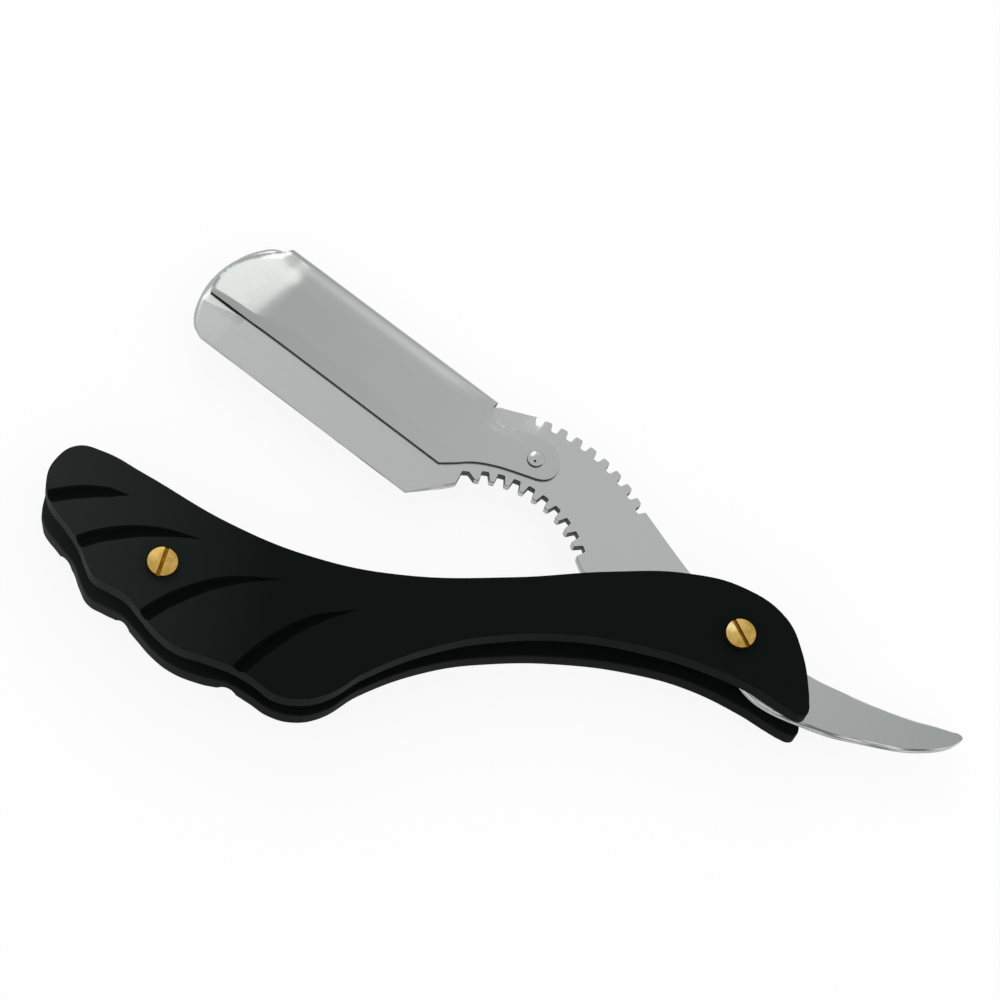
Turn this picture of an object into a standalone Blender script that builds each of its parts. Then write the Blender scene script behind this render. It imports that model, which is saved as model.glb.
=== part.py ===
"""Shaving razor with a changeable half blade, part open.

Two carved scales hold a stamped steel body that swings on the pivot post. A folded sheet cover swings
on a rivet over the arm, where two pins locate the half blade. The frame's origin is the pivot axis on
the back scale's outer face: +X runs to the tail end, +Y to the scales' upper edge, +Z to the front.
"""
import math

import bmesh
import bpy
from mathutils import Matrix, Vector

MM = 0.001

# Fits shared by all pieces
SEAT_GAP = 0.3 * MM
OVERRUN = 1.0 * MM
WELD = 0.001 * MM

# Counts of steps on round stretches, and the angle above which an edge is shaded sharp
SHARP_ANGLE = math.radians(35)
OUTLINE_STEPS = 4
TURNED_STEPS = 28
GROOVE_SIDES = 3
FOLD_STEPS = 8

# Scales: one outline for both, with shares of length and depth counted from the pivot
SCALE_LENGTH = 139.7 * MM
SCALE_DEPTH = 42.6 * MM
SCALE_THICKNESS = 4.0 * MM
SCALE_OUTLINE_SHARES = [
    (0.093, -0.263), (0.083, -0.038), (0.060, 0.106), (0.004, 0.218), (-0.072, 0.251),
    (-0.172, 0.216), (-0.301, 0.134), (-0.446, 0.082), (-0.558, 0.115), (-0.668, 0.216),
    (-0.785, 0.394), (-0.841, 0.474), (-0.875, 0.481), (-0.899, 0.413), (-0.907, 0.319),
    (-0.900, 0.223), (-0.875, 0.127), (-0.856, 0.047), (-0.845, -0.028), (-0.833, -0.087),
    (-0.812, -0.120), (-0.789, -0.157), (-0.769, -0.223), (-0.747, -0.293), (-0.720, -0.352),
    (-0.681, -0.383), (-0.647, -0.411), (-0.617, -0.455), (-0.591, -0.507), (-0.558, -0.519),
    (-0.523, -0.484), (-0.477, -0.366), (-0.387, -0.209), (-0.312, -0.131), (-0.213, -0.087),
    (-0.120, -0.101), (-0.049, -0.143), (0.023, -0.221), (0.076, -0.302), (0.087, -0.333),
    (0.0935, -0.315),
]

# Carved grooves: centre lines as shares of the scale, from the wide end at the edge to the tip, and
# how far each line of the back scale lies from the front one's
GROOVE_RADIUS = 1.2 * MM
GROOVE_LIFT = 0.3 * MM
GROOVE_WIDTH_SHARES = [1.0, 1.0, 1.0, 0.8, 0.22]
GROOVE_LINE_SHARES = [
    [(-0.918, 0.221), (-0.898, 0.244), (-0.859, 0.279), (-0.827, 0.291), (-0.801, 0.289)],
    [(-0.869, 0.021), (-0.856, 0.054), (-0.809, 0.115), (-0.758, 0.141), (-0.705, 0.134)],
    [(-0.775, -0.277), (-0.762, -0.232), (-0.724, -0.134), (-0.666, -0.042), (-0.596, -0.002)],
    [(-0.644, -0.453), (-0.634, -0.408), (-0.597, -0.279), (-0.551, -0.169), (-0.497, -0.096)],
]
BACK_GROOVE_SHIFT_SHARES = [(0.0, 0.0), (-0.006, 0.038), (-0.019, 0.073), (-0.004, 0.024)]

# Screws, barrel nuts, washers and spacer
WING_SCREW_SHARE = 0.749
SCREW_HEAD_DIAMETER = 5.5 * MM
SCREW_HEAD_THICKNESS = 1.1 * MM
SCREW_SHANK_DIAMETER = 2.0 * MM
SLOT_WIDTH = 0.8 * MM
SLOT_DEPTH = 0.5 * MM
WING_SLOT_ANGLE = math.radians(79)
PIVOT_SLOT_ANGLE = math.radians(-59)
BARREL_WALL = 0.6 * MM
NUT_HEAD_DIAMETER = 6.0 * MM
NUT_HEAD_THICKNESS = 1.2 * MM
NUT_END_CLEARANCE = 1.5 * MM
WASHER_DIAMETER = 9.0 * MM
SPACER_WALL = 0.8 * MM

# Razor body: a plate in its own frame, pivot at the origin, holder along -X and spine towards +Y
BODY_THICKNESS = 2.0 * MM
HOLDER_TILT = math.radians(-32.4)
HOLDER_WIDTH = 25.7 * MM
SPINE_HEIGHT = 11.2 * MM
TIP_DISTANCE = 117.9 * MM
HEEL_DISTANCE = 64.4 * MM
INNER_ARCH_DISTANCE = 44.3 * MM
INNER_ARCH_DROP = 19.5 * MM
INNER_ARCH_RADIUS = 19.2 * MM
INNER_ARCH_SPAN = (math.radians(138.6), math.radians(51))
OUTER_ARCH_DISTANCE = 43.8 * MM
OUTER_ARCH_DROP = 18.8 * MM
OUTER_ARCH_RADIUS = 33.9 * MM
OUTER_ARCH_SPAN = (math.radians(61.5), math.radians(108.8))
ARCH_STEPS = 12
STEP_GAP = 0.6 * MM
STEP_DROP = 0.8 * MM
EDGE_RELIEF_WIDTH = 6.0 * MM
EDGE_THICKNESS = 0.5 * MM
ARM_TIP_SHARES = [
    (0.226, 0.93), (0.136, 0.856), (0.043, 0.68), (0.0, 0.463), (0.027, 0.261), (0.117, 0.062),
]
ARM_SPINE_SHARE = 0.284
ARM_TOE_SHARE = 0.222

# Teeth: notches cut into both arcs, mouth wider than the bottom
NOTCH_DEPTH = 1.8 * MM
NOTCH_BOTTOM_WIDTH = 1.2 * MM
NOTCH_MOUTH_WIDTH = 1.9 * MM
OUTER_NOTCH_COUNT = 9
OUTER_NOTCH_FIRST = math.radians(63.4)
OUTER_NOTCH_PITCH = math.radians(5.5)
INNER_NOTCH_COUNT = 10
INNER_NOTCH_FIRST = math.radians(55.5)
INNER_NOTCH_PITCH = math.radians(8.33)

# Tang and tail: x as shares of the tail's or the arch's distance, y as shares of the tang's width
TANG_WIDTH = 9.6 * MM
TAIL_LENGTH = 43.0 * MM
TANG_LOWER_SHARES = [(0.69, -0.57), (0.30, -0.75), (0.08, -0.60)]
TAIL_LOWER_SHARES = [
    (0.08, -0.53), (0.20, -0.62), (0.31, -0.58), (0.42, -0.45), (0.54, -0.27), (0.68, 0.03),
    (0.82, 0.37), (0.94, 0.80), (0.98, 1.01), (1.0, 1.25),
]
TAIL_UPPER_SHARES = [(0.98, 1.33), (0.93, 1.28), (0.79, 1.04), (0.64, 0.81), (0.48, 0.62), (0.32, 0.49)]
TANG_UPPER_SHARES = [(-0.07, 0.46), (0.12, 0.46), (0.33, 0.70)]

# Swing cover: one sheet blank, folded over the spine, with a tongue to the rivet on each wall
SHEET = 0.5 * MM
TONGUE_LENGTH = 12.3 * MM
TONGUE_RADIUS = 4.4 * MM
TONGUE_START = math.radians(-80)
TONGUE_END = math.radians(105)
TONGUE_STEPS = 6
TIP_MARGIN = 1.2 * MM
ARM_STRIP = 8.5 * MM
BACK_STRIP = 1.7 * MM
BACK_HEEL_LEAD = 4.2 * MM
COVER_TIP_SHARES = [(0.027, 0.331), (0.0, 0.428), (0.004, 0.541), (0.035, 0.65), (0.101, 0.76), (0.179, 0.86)]
BACK_TOE_SHARES = [(0.012, 0.331), (0.058, 0.195)]
BACK_TOE_CORNER_SHARE = 0.113
FOLD_TIP_SHARE = 0.222
CREST_TIP_SHARE = 0.257
SWEEP_SHARES = [(0.76, 0.69), (0.50, 0.51), (0.21, 0.385)]
HEEL_CORNER_SHARE = 1.09
SCOOP_SHARES = [(0.38, 0.30), (0.60, 0.19)]

# Cover rivet: it sits on the arch between the two rows of teeth
RIVET_ORBIT = 25.5 * MM
RIVET_ANGLE = math.radians(103.5)
RIVET_DIAMETER = 1.8 * MM
RIVET_HEAD_DIAMETER = 3.2 * MM
RIVET_DOME = 0.6 * MM
RIVET_BACK_HEAD = 0.2 * MM
DOME_STEPS = 4

# Blade pins: they stand out of the arm's back and locate the half blade
PIN_DIAMETER = 1.5 * MM
PIN_DEPTH = 1.0 * MM
PIN_PROUD = 0.15 * MM
PIN_SPACING = 21.0 * MM
PIN_HEIGHT = 9.2 * MM
BLADE_CENTRE = 91.0 * MM

# Heights that follow from the stack
BODY_BACK = SCALE_THICKNESS + RIVET_BACK_HEAD + SHEET + 3 * SEAT_GAP
BODY_FRONT = BODY_BACK + BODY_THICKNESS
SCALE_SPACING = BODY_FRONT + SHEET + RIVET_DOME + 3 * SEAT_GAP - SCALE_THICKNESS
FRONT_SCALE_BACK = SCALE_THICKNESS + SCALE_SPACING
FRONT_FACE = FRONT_SCALE_BACK + SCALE_THICKNESS

# Places that follow from the sizes
WING_SCREW_DISTANCE = WING_SCREW_SHARE * SCALE_LENGTH
BARREL_RADIUS = SCREW_SHANK_DIAMETER / 2 + SEAT_GAP + BARREL_WALL
BARREL_HOLE_RADIUS = BARREL_RADIUS + SEAT_GAP
LOWER_EDGE = SPINE_HEIGHT - HOLDER_WIDTH
INNER_CENTRE = Vector((-INNER_ARCH_DISTANCE, -INNER_ARCH_DROP))
OUTER_CENTRE = Vector((-OUTER_ARCH_DISTANCE, -OUTER_ARCH_DROP))
RIVET = OUTER_CENTRE + RIVET_ORBIT * Vector((math.cos(RIVET_ANGLE), math.sin(RIVET_ANGLE)))
FOLD_END = RIVET.x - TONGUE_LENGTH
FOLD_INNER_RADIUS = BODY_THICKNESS / 2 + SEAT_GAP
FOLD_RADIUS = FOLD_INNER_RADIUS + SHEET / 2
FOLD_CENTRE = SPINE_HEIGHT - FOLD_INNER_RADIUS - SHEET
FOLD_REACH = math.sqrt(FOLD_INNER_RADIUS ** 2 - (BODY_THICKNESS / 2) ** 2)
ARM_SPINE = FOLD_CENTRE + FOLD_REACH - SEAT_GAP


def new_collection(name):
    collection = bpy.data.collections.new(name)
    bpy.context.scene.collection.children.link(collection)
    return collection


def new_material(name, colour, roughness, metallic):
    material = bpy.data.materials.new(name)
    material.use_nodes = True
    shader = material.node_tree.nodes["Principled BSDF"]
    shader.inputs["Base Color"].default_value = (*colour, 1)
    shader.inputs["Roughness"].default_value = roughness
    shader.inputs["Metallic"].default_value = metallic
    return material


def new_empty(name, location, tilt, parent):
    empty = bpy.data.objects.new(name, None)
    empty.location = location
    empty.rotation_euler.z = tilt
    empty.parent = parent
    parts.objects.link(empty)
    return empty


def finish_part(piece, material, parent=None):
    """Gives a sub-part its material, its shading and its place in the assembly."""
    piece.data.materials.clear()
    piece.data.materials.append(material)
    piece.data.shade_smooth()
    piece.data.set_sharp_from_angle(angle=SHARP_ANGLE)
    piece.parent = parent
    return piece


def as_cutter(piece):
    """Moves an object to the cutters, shown as wire and left out of renders."""
    parts.objects.unlink(piece)
    cutters.objects.link(piece)
    piece.hide_render = True
    piece.display_type = "WIRE"
    return piece


def cut(piece, cutter):
    """Subtracts a cutter that shares the piece's parent."""
    cutter.parent = piece.parent
    boolean = piece.modifiers.new("Cut " + cutter.name, "BOOLEAN")
    boolean.operation = "DIFFERENCE"
    boolean.solver = "EXACT"
    boolean.object = cutter


def smooth(points):
    return [(x, y, "AUTO") for x, y in points]


def corners(points):
    return [(x, y, "VECTOR") for x, y in points]


def arc(centre, radius, start, end, steps):
    """Points along an arc, both ends included."""
    angles = [start + (end - start) * i / steps for i in range(steps + 1)]
    return [(centre[0] + radius * math.cos(a), centre[1] + radius * math.sin(a)) for a in angles]


def curve_to_mesh(guide):
    """Replaces a curve object by a mesh object of the same name, its caps welded on."""
    bpy.context.view_layer.update()
    evaluated = guide.evaluated_get(bpy.context.evaluated_depsgraph_get())
    mesh = bpy.data.meshes.new_from_object(evaluated)
    work = bmesh.new()
    work.from_mesh(mesh)
    bmesh.ops.remove_doubles(work, verts=work.verts, dist=WELD)
    work.to_mesh(mesh)
    work.free()
    name = guide.name
    matrix = guide.matrix_world.copy()
    bpy.data.objects.remove(guide)
    piece = bpy.data.objects.new(name, mesh)
    piece.matrix_world = matrix
    parts.objects.link(piece)
    return piece


def flat_outline(name, loops, thickness):
    """A curve object filled between its loops of (x, y, handle type)."""
    curve = bpy.data.curves.new(name, "CURVE")
    curve.dimensions = "2D"
    curve.fill_mode = "BOTH"
    curve.extrude = thickness / 2
    curve.resolution_u = OUTLINE_STEPS
    for loop in loops:
        spline = curve.splines.new("BEZIER")
        spline.bezier_points.add(len(loop) - 1)
        spline.use_cyclic_u = True
        for point, (x, y, handle) in zip(spline.bezier_points, loop):
            point.co = (x, y, 0)
            point.handle_left_type = handle
            point.handle_right_type = handle
    guide = bpy.data.objects.new(name, curve)
    parts.objects.link(guide)
    return guide


def flat_piece(name, loops, low, high):
    """A flat plate between two heights."""
    guide = flat_outline(name, loops, high - low)
    guide.location.z = (low + high) / 2
    return curve_to_mesh(guide)


def turned_piece(name, profile, location, ring=False):
    """A solid turned about Z. Its profile of (radius, height) runs down the outer side."""
    mesh = bpy.data.meshes.new(name)
    work = bmesh.new()
    verts = [work.verts.new((radius, 0, height)) for radius, height in profile]
    for first, second in zip(verts, verts[1:] + verts[:1] if ring else verts[1:]):
        work.edges.new((first, second))
    work.to_mesh(mesh)
    work.free()
    piece = bpy.data.objects.new(name, mesh)
    piece.location = location
    parts.objects.link(piece)
    screw = piece.modifiers.new("Turn", "SCREW")
    screw.steps = TURNED_STEPS
    screw.render_steps = TURNED_STEPS
    screw.use_merge_vertices = True
    screw.merge_threshold = WELD
    screw.use_smooth_shade = True
    return piece


def ring_piece(name, inner, outer, low, high, location):
    profile = [(inner, high), (outer, high), (outer, low), (inner, low)]
    return turned_piece(name, profile, (location[0], location[1], 0), ring=True)


def round_cutter(name, radius, low, high, location):
    profile = [(0, high), (radius, high), (radius, low), (0, low)]
    return as_cutter(turned_piece(name, profile, (location[0], location[1], 0)))


def box_cutter(name, low, high):
    """A box between two corners, given from the object's own origin."""
    mesh = bpy.data.meshes.new(name)
    work = bmesh.new()
    bmesh.ops.create_cube(work, size=1)
    size = Matrix.Diagonal((*(Vector(high) - Vector(low)), 1))
    place = Matrix.Translation((Vector(high) + Vector(low)) / 2)
    bmesh.ops.transform(work, matrix=place @ size, verts=work.verts)
    work.to_mesh(mesh)
    work.free()
    box = bpy.data.objects.new(name, mesh)
    parts.objects.link(box)
    return as_cutter(box)


def groove_cutter(name, line_shares, face):
    """A tapering tube along a groove's centre line. It leaves the face at the groove's tip."""
    curve = bpy.data.curves.new(name, "CURVE")
    curve.dimensions = "3D"
    curve.bevel_depth = GROOVE_RADIUS
    curve.bevel_resolution = GROOVE_SIDES
    curve.use_fill_caps = True
    curve.resolution_u = OUTLINE_STEPS
    spline = curve.splines.new("BEZIER")
    spline.bezier_points.add(len(line_shares) - 1)
    for point, (x, y), width in zip(spline.bezier_points, line_shares, GROOVE_WIDTH_SHARES):
        point.co = (x * SCALE_LENGTH, y * SCALE_DEPTH, 0)
        point.radius = width
        point.handle_left_type = "AUTO"
        point.handle_right_type = "AUTO"
    guide = bpy.data.objects.new(name, curve)
    guide.location.z = face
    parts.objects.link(guide)
    return as_cutter(curve_to_mesh(guide))


def make_scale(name, low, outer_face, outward, shift_shares, material):
    """A carved scale. Outward is 1 where its outer face looks to the front, -1 to the back."""
    outline = smooth([(x * SCALE_LENGTH, y * SCALE_DEPTH) for x, y in SCALE_OUTLINE_SHARES])
    scale = flat_piece(name, [outline], low, low + SCALE_THICKNESS)
    for number, (line, (dx, dy)) in enumerate(zip(GROOVE_LINE_SHARES, shift_shares), 1):
        shifted = [(x + dx, y + dy) for x, y in line]
        cut(scale, groove_cutter(f"{name}_groove_{number}", shifted, outer_face + outward * GROOVE_LIFT))
    return finish_part(scale, material)


def make_scales(material):
    unshifted = [(0, 0)] * len(GROOVE_LINE_SHARES)
    front = make_scale("front_scale", FRONT_SCALE_BACK, FRONT_FACE, 1, unshifted, material)
    back = make_scale("back_scale", 0, 0, -1, BACK_GROOVE_SHIFT_SHARES, material)
    recess = NUT_HEAD_THICKNESS + SEAT_GAP
    for place, x in (("pivot", 0), ("wing", -WING_SCREW_DISTANCE)):
        centre = (x, 0)
        high = FRONT_FACE + OVERRUN
        cut(front, round_cutter(f"front_{place}_hole", BARREL_HOLE_RADIUS, SCALE_THICKNESS, high, centre))
        cut(back, round_cutter(f"back_{place}_hole", BARREL_HOLE_RADIUS, -OVERRUN, FRONT_SCALE_BACK, centre))
        radius = NUT_HEAD_DIAMETER / 2 + SEAT_GAP
        cut(back, round_cutter(f"back_{place}_recess", radius, -OVERRUN, recess, centre))


def make_screw(name, x, slot_angle, material):
    """A cheese-head screw from the front, slotted, its shank inside the barrel nut."""
    seat = FRONT_FACE + SEAT_GAP
    top = seat + SCREW_HEAD_THICKNESS
    tip = NUT_HEAD_THICKNESS + NUT_END_CLEARANCE + SEAT_GAP
    head = SCREW_HEAD_DIAMETER / 2
    shank = SCREW_SHANK_DIAMETER / 2
    profile = [(0, top), (head, top), (head, seat), (shank, seat), (shank, tip), (0, tip)]
    screw = turned_piece(name, profile, (x, 0, 0))
    reach = head + OVERRUN
    side = SLOT_WIDTH / 2
    slot = box_cutter(f"{name}_slot", (-reach, -side, -SLOT_DEPTH), (reach, side, OVERRUN))
    slot.location = (x, 0, top)
    slot.rotation_euler.z = slot_angle
    cut(screw, slot)
    return finish_part(screw, material)


def make_barrel_nut(name, x, material):
    """The post that the screw runs into, its flat head flush with the back scale's outer face."""
    bore = SCREW_SHANK_DIAMETER / 2 + SEAT_GAP
    bottom = NUT_HEAD_THICKNESS + NUT_END_CLEARANCE
    top = FRONT_FACE - NUT_END_CLEARANCE
    head = NUT_HEAD_DIAMETER / 2
    profile = [(0, bottom), (bore, bottom), (bore, top), (BARREL_RADIUS, top),
               (BARREL_RADIUS, NUT_HEAD_THICKNESS), (head, NUT_HEAD_THICKNESS), (head, 0), (0, 0)]
    return finish_part(turned_piece(name, profile, (x, 0, 0)), material)


def make_fasteners(brass, washer_metal):
    make_screw("pivot_screw", 0, PIVOT_SLOT_ANGLE, brass)
    make_screw("wing_screw", -WING_SCREW_DISTANCE, WING_SLOT_ANGLE, brass)
    make_barrel_nut("pivot_post", 0, brass)
    make_barrel_nut("wing_post", -WING_SCREW_DISTANCE, brass)
    inner = SCALE_THICKNESS + SEAT_GAP
    outer = FRONT_SCALE_BACK - SEAT_GAP
    washer = WASHER_DIAMETER / 2
    hole = BARREL_HOLE_RADIUS
    pivot = (0, 0)
    back = ring_piece("pivot_washer_back", hole, washer, inner, BODY_BACK - SEAT_GAP, pivot)
    front = ring_piece("pivot_washer_front", hole, washer, BODY_FRONT + SEAT_GAP, outer, pivot)
    wing = (-WING_SCREW_DISTANCE, 0)
    spacer = ring_piece("wing_spacer", hole, hole + SPACER_WALL, inner, outer, wing)
    for piece in (back, front, spacer):
        finish_part(piece, washer_metal)


def body_outline():
    """The plate's outline, counterclockwise from the arm's toe, without its notches."""
    toe = (-TIP_DISTANCE + ARM_TOE_SHARE * HOLDER_WIDTH, LOWER_EDGE)
    heel = (-HEEL_DISTANCE, LOWER_EDGE)
    inner = arc(INNER_CENTRE, INNER_ARCH_RADIUS, *INNER_ARCH_SPAN, ARCH_STEPS)
    outer = arc(OUTER_CENTRE, OUTER_ARCH_RADIUS, *OUTER_ARCH_SPAN, ARCH_STEPS)
    tang_lower = [(-x * INNER_ARCH_DISTANCE, y * TANG_WIDTH) for x, y in TANG_LOWER_SHARES]
    tail_lower = [(x * TAIL_LENGTH, y * TANG_WIDTH) for x, y in TAIL_LOWER_SHARES]
    tail_upper = [(x * TAIL_LENGTH, y * TANG_WIDTH) for x, y in TAIL_UPPER_SHARES]
    tang_upper = [(-x * OUTER_ARCH_DISTANCE, y * TANG_WIDTH) for x, y in TANG_UPPER_SHARES]
    step_x = FOLD_END + STEP_GAP
    step = [(step_x, SPINE_HEIGHT - STEP_DROP), (step_x, ARM_SPINE)]
    spine_end = [(-TIP_DISTANCE + ARM_SPINE_SHARE * HOLDER_WIDTH, ARM_SPINE)]
    tip = [(-TIP_DISTANCE + x * HOLDER_WIDTH, LOWER_EDGE + y * HOLDER_WIDTH) for x, y in ARM_TIP_SHARES]
    return (corners([toe, heel]) + corners(inner) + smooth(tang_lower + tail_lower + tail_upper + tang_upper)
            + corners(outer) + corners(step) + corners(spine_end) + smooth(tip))


def notch_loop(centre, radius, inward, angle):
    """One notch across an arc: a slot with a narrow bottom and a wide mouth past the arc."""
    bottom = radius - inward * NOTCH_DEPTH
    mouth = radius + inward * OVERRUN
    spread = NOTCH_MOUTH_WIDTH + (NOTCH_MOUTH_WIDTH - NOTCH_BOTTOM_WIDTH) * OVERRUN / NOTCH_DEPTH
    across = [(bottom, -NOTCH_BOTTOM_WIDTH), (mouth, -spread), (mouth, spread), (bottom, NOTCH_BOTTOM_WIDTH)]
    along = Vector((math.cos(angle), math.sin(angle)))
    side = Vector((-along.y, along.x))
    return corners([tuple(centre + along * out + side * width / 2) for out, width in across])


def make_notch_cutter(name, centre, radius, inward, first, pitch, count):
    loops = [notch_loop(centre, radius, inward, first + i * pitch) for i in range(count)]
    return as_cutter(flat_piece(name, loops, BODY_BACK - OVERRUN, BODY_FRONT + OVERRUN))


def pin_places():
    height = LOWER_EDGE + PIN_HEIGHT
    half = PIN_SPACING / 2
    return {"blade_pin_toe": (-BLADE_CENTRE - half, height), "blade_pin_heel": (-BLADE_CENTRE + half, height)}


def make_body(axis, material):
    """The plate with its arm, toothed shank, tang and tail, ground thin along the blade edge."""
    body = flat_piece("razor_body", [body_outline()], BODY_BACK, BODY_FRONT)
    finish_part(body, material, axis)
    outer = make_notch_cutter("outer_notches", OUTER_CENTRE, OUTER_ARCH_RADIUS, 1, OUTER_NOTCH_FIRST,
                              OUTER_NOTCH_PITCH, OUTER_NOTCH_COUNT)
    inner = make_notch_cutter("inner_notches", INNER_CENTRE, INNER_ARCH_RADIUS, -1, INNER_NOTCH_FIRST,
                              INNER_NOTCH_PITCH, INNER_NOTCH_COUNT)
    cut(body, outer)
    cut(body, inner)
    low = BODY_BACK - OVERRUN
    high = BODY_FRONT + OVERRUN
    cut(body, round_cutter("body_pivot_hole", BARREL_HOLE_RADIUS, low, high, (0, 0)))
    cut(body, round_cutter("body_rivet_hole", RIVET_DIAMETER / 2 + SEAT_GAP, low, high, RIVET))
    for name, place in pin_places().items():
        radius = PIN_DIAMETER / 2 + SEAT_GAP
        cut(body, round_cutter(f"{name}_hole", radius, low, BODY_BACK + PIN_DEPTH + SEAT_GAP, place))
    slope = math.atan2(BODY_THICKNESS - EDGE_THICKNESS, EDGE_RELIEF_WIDTH)
    reach = 2 * EDGE_RELIEF_WIDTH
    length = TIP_DISTANCE - INNER_ARCH_DISTANCE + OVERRUN
    relief = box_cutter("edge_relief", (-length, -reach, -BODY_THICKNESS), (0, 0, 0))
    relief.location = (-INNER_ARCH_DISTANCE, LOWER_EDGE + EDGE_RELIEF_WIDTH, BODY_BACK)
    relief.rotation_euler.x = -slope
    cut(body, relief)


def cover_wall(front):
    """Half of the blank's outline, crest to crest by way of the tongue, as (x, height, handle)."""
    tip_x = -TIP_DISTANCE + TIP_MARGIN
    strip = ARM_STRIP if front else BACK_STRIP
    edge = LOWER_EDGE + strip
    sweep_height = RIVET.y - LOWER_EDGE - ARM_STRIP
    fold_tip = tip_x + FOLD_TIP_SHARE * HOLDER_WIDTH
    tip = [(tip_x + x * HOLDER_WIDTH, LOWER_EDGE + y * HOLDER_WIDTH) for x, y in reversed(COVER_TIP_SHARES)]
    heel_x = RIVET.x - HEEL_CORNER_SHARE * TONGUE_LENGTH
    sweep = [(RIVET.x - x * TONGUE_LENGTH, RIVET.y - y * sweep_height) for x, y in SWEEP_SHARES]
    tongue = arc(RIVET, TONGUE_RADIUS, TONGUE_START, TONGUE_END, TONGUE_STEPS)
    scoop = [(RIVET.x - x * TONGUE_LENGTH, RIVET.y + y * sweep_height) for x, y in SCOOP_SHARES]
    points = smooth([(fold_tip, FOLD_CENTRE)] + tip)
    if front:
        points[-1] = (*tip[-1], "VECTOR")
    else:
        toe = [(tip_x + x * HOLDER_WIDTH, LOWER_EDGE + y * HOLDER_WIDTH) for x, y in BACK_TOE_SHARES]
        points = points[:-1] + smooth(toe)
        points += corners([(tip_x + BACK_TOE_CORNER_SHARE * HOLDER_WIDTH, edge)])
        points += corners([(heel_x - BACK_HEEL_LEAD, edge)])
    points += corners([(heel_x, LOWER_EDGE + ARM_STRIP)])
    points += smooth(sweep + tongue + scoop) + corners([(FOLD_END, FOLD_CENTRE)])
    return points


def make_cover(axis, material):
    """The sheet blank is cut flat, bent round the spine and thickened."""
    quarter = math.pi * FOLD_RADIUS / 2
    crest_x = -TIP_DISTANCE + TIP_MARGIN + CREST_TIP_SHARE * HOLDER_WIDTH
    front = [(x, FOLD_CENTRE - y + quarter, handle) for x, y, handle in cover_wall(True)]
    back = [(x, y - FOLD_CENTRE - quarter, handle) for x, y, handle in cover_wall(False)]
    outline = [(crest_x, 0, "AUTO")] + front + list(reversed(back))
    hole_radius = RIVET_DIAMETER / 2 + SEAT_GAP
    rise = FOLD_CENTRE - RIVET.y + quarter
    turn = math.tau * (1 - 1 / TURNED_STEPS)
    holes = [corners(arc((RIVET.x, side * rise), hole_radius, 0, turn, TURNED_STEPS - 1)) for side in (1, -1)]
    cover = curve_to_mesh(flat_outline("swing_cover", [outline, *holes], 0))
    work = bmesh.new()
    work.from_mesh(cover.data)
    for i in range(FOLD_STEPS + 1):
        geometry = work.verts[:] + work.edges[:] + work.faces[:]
        station = quarter * (2 * i / FOLD_STEPS - 1)
        bmesh.ops.bisect_plane(work, geom=geometry, dist=WELD, plane_co=(0, station, 0), plane_no=(0, 1, 0))
    middle = (BODY_BACK + BODY_FRONT) / 2
    for vert in work.verts:
        side = math.copysign(1, vert.co.y)
        past_fold = abs(vert.co.y) - quarter
        if past_fold < 0 and vert.co.x < FOLD_END + WELD:
            turn = vert.co.y / FOLD_RADIUS
            height = FOLD_CENTRE + FOLD_RADIUS * math.cos(turn)
            level = middle + FOLD_RADIUS * math.sin(turn)
        else:
            height = FOLD_CENTRE - past_fold
            level = middle + side * FOLD_RADIUS
        vert.co = (vert.co.x - RIVET.x, height - RIVET.y, level)
    bmesh.ops.recalc_face_normals(work, faces=work.faces)
    work.to_mesh(cover.data)
    work.free()
    sheet = cover.modifiers.new("Sheet", "SOLIDIFY")
    sheet.thickness = SHEET
    sheet.offset = 0
    sheet.use_even_offset = True
    finish_part(cover, material, axis)


def make_rivet(axis, material):
    """The domed rivet through both walls of the cover and the body, its low head at the back."""
    seat = BODY_FRONT + SEAT_GAP + SHEET + SEAT_GAP
    back_seat = BODY_BACK - SEAT_GAP - SHEET - SEAT_GAP
    head = RIVET_HEAD_DIAMETER / 2
    shank = RIVET_DIAMETER / 2
    turns = [math.pi / 2 * (1 - i / DOME_STEPS) for i in range(1, DOME_STEPS + 1)]
    dome = [(head * math.cos(a), seat + RIVET_DOME * math.sin(a)) for a in turns]
    foot = back_seat - RIVET_BACK_HEAD
    profile = [(0, seat + RIVET_DOME), *dome, (shank, seat), (shank, back_seat), (head, back_seat),
               (head, foot), (0, foot)]
    rivet = turned_piece("cover_rivet", profile, (RIVET.x, RIVET.y, 0))
    finish_part(rivet, material, axis)


def make_pins(axis, material):
    for name, (x, y) in pin_places().items():
        radius = PIN_DIAMETER / 2
        high = BODY_BACK + PIN_DEPTH
        low = BODY_BACK - PIN_PROUD
        profile = [(0, high), (radius, high), (radius, low), (0, low)]
        finish_part(turned_piece(name, profile, (x, y, 0)), material, axis)


for leftover in list(bpy.data.objects):
    bpy.data.objects.remove(leftover)

parts = new_collection("Shaving razor")
cutters = new_collection("Cutters")

black = new_material("Satin black scale", (0.012, 0.014, 0.013), 0.5, 0.0)
steel = new_material("Stainless steel", (0.62, 0.63, 0.62), 0.28, 1.0)
polished = new_material("Polished steel", (0.72, 0.73, 0.72), 0.15, 1.0)
brass = new_material("Brass", (0.78, 0.57, 0.20), 0.25, 1.0)

make_scales(black)
make_fasteners(brass, steel)
razor_axis = new_empty("razor_axis", (0, 0, 0), HOLDER_TILT, None)
cover_axis = new_empty("cover_axis", (RIVET.x, RIVET.y, 0), 0, razor_axis)
make_body(razor_axis, steel)
make_cover(cover_axis, polished)
make_rivet(razor_axis, polished)
make_pins(razor_axis, steel)
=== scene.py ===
"""A barber's folding razor, half open: carved black scales, a toothed steel body with its tail, and a
swinging steel cover over the half-blade seat. Lengths are in millimetres until MM turns them to metres.
"""

import math

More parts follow.
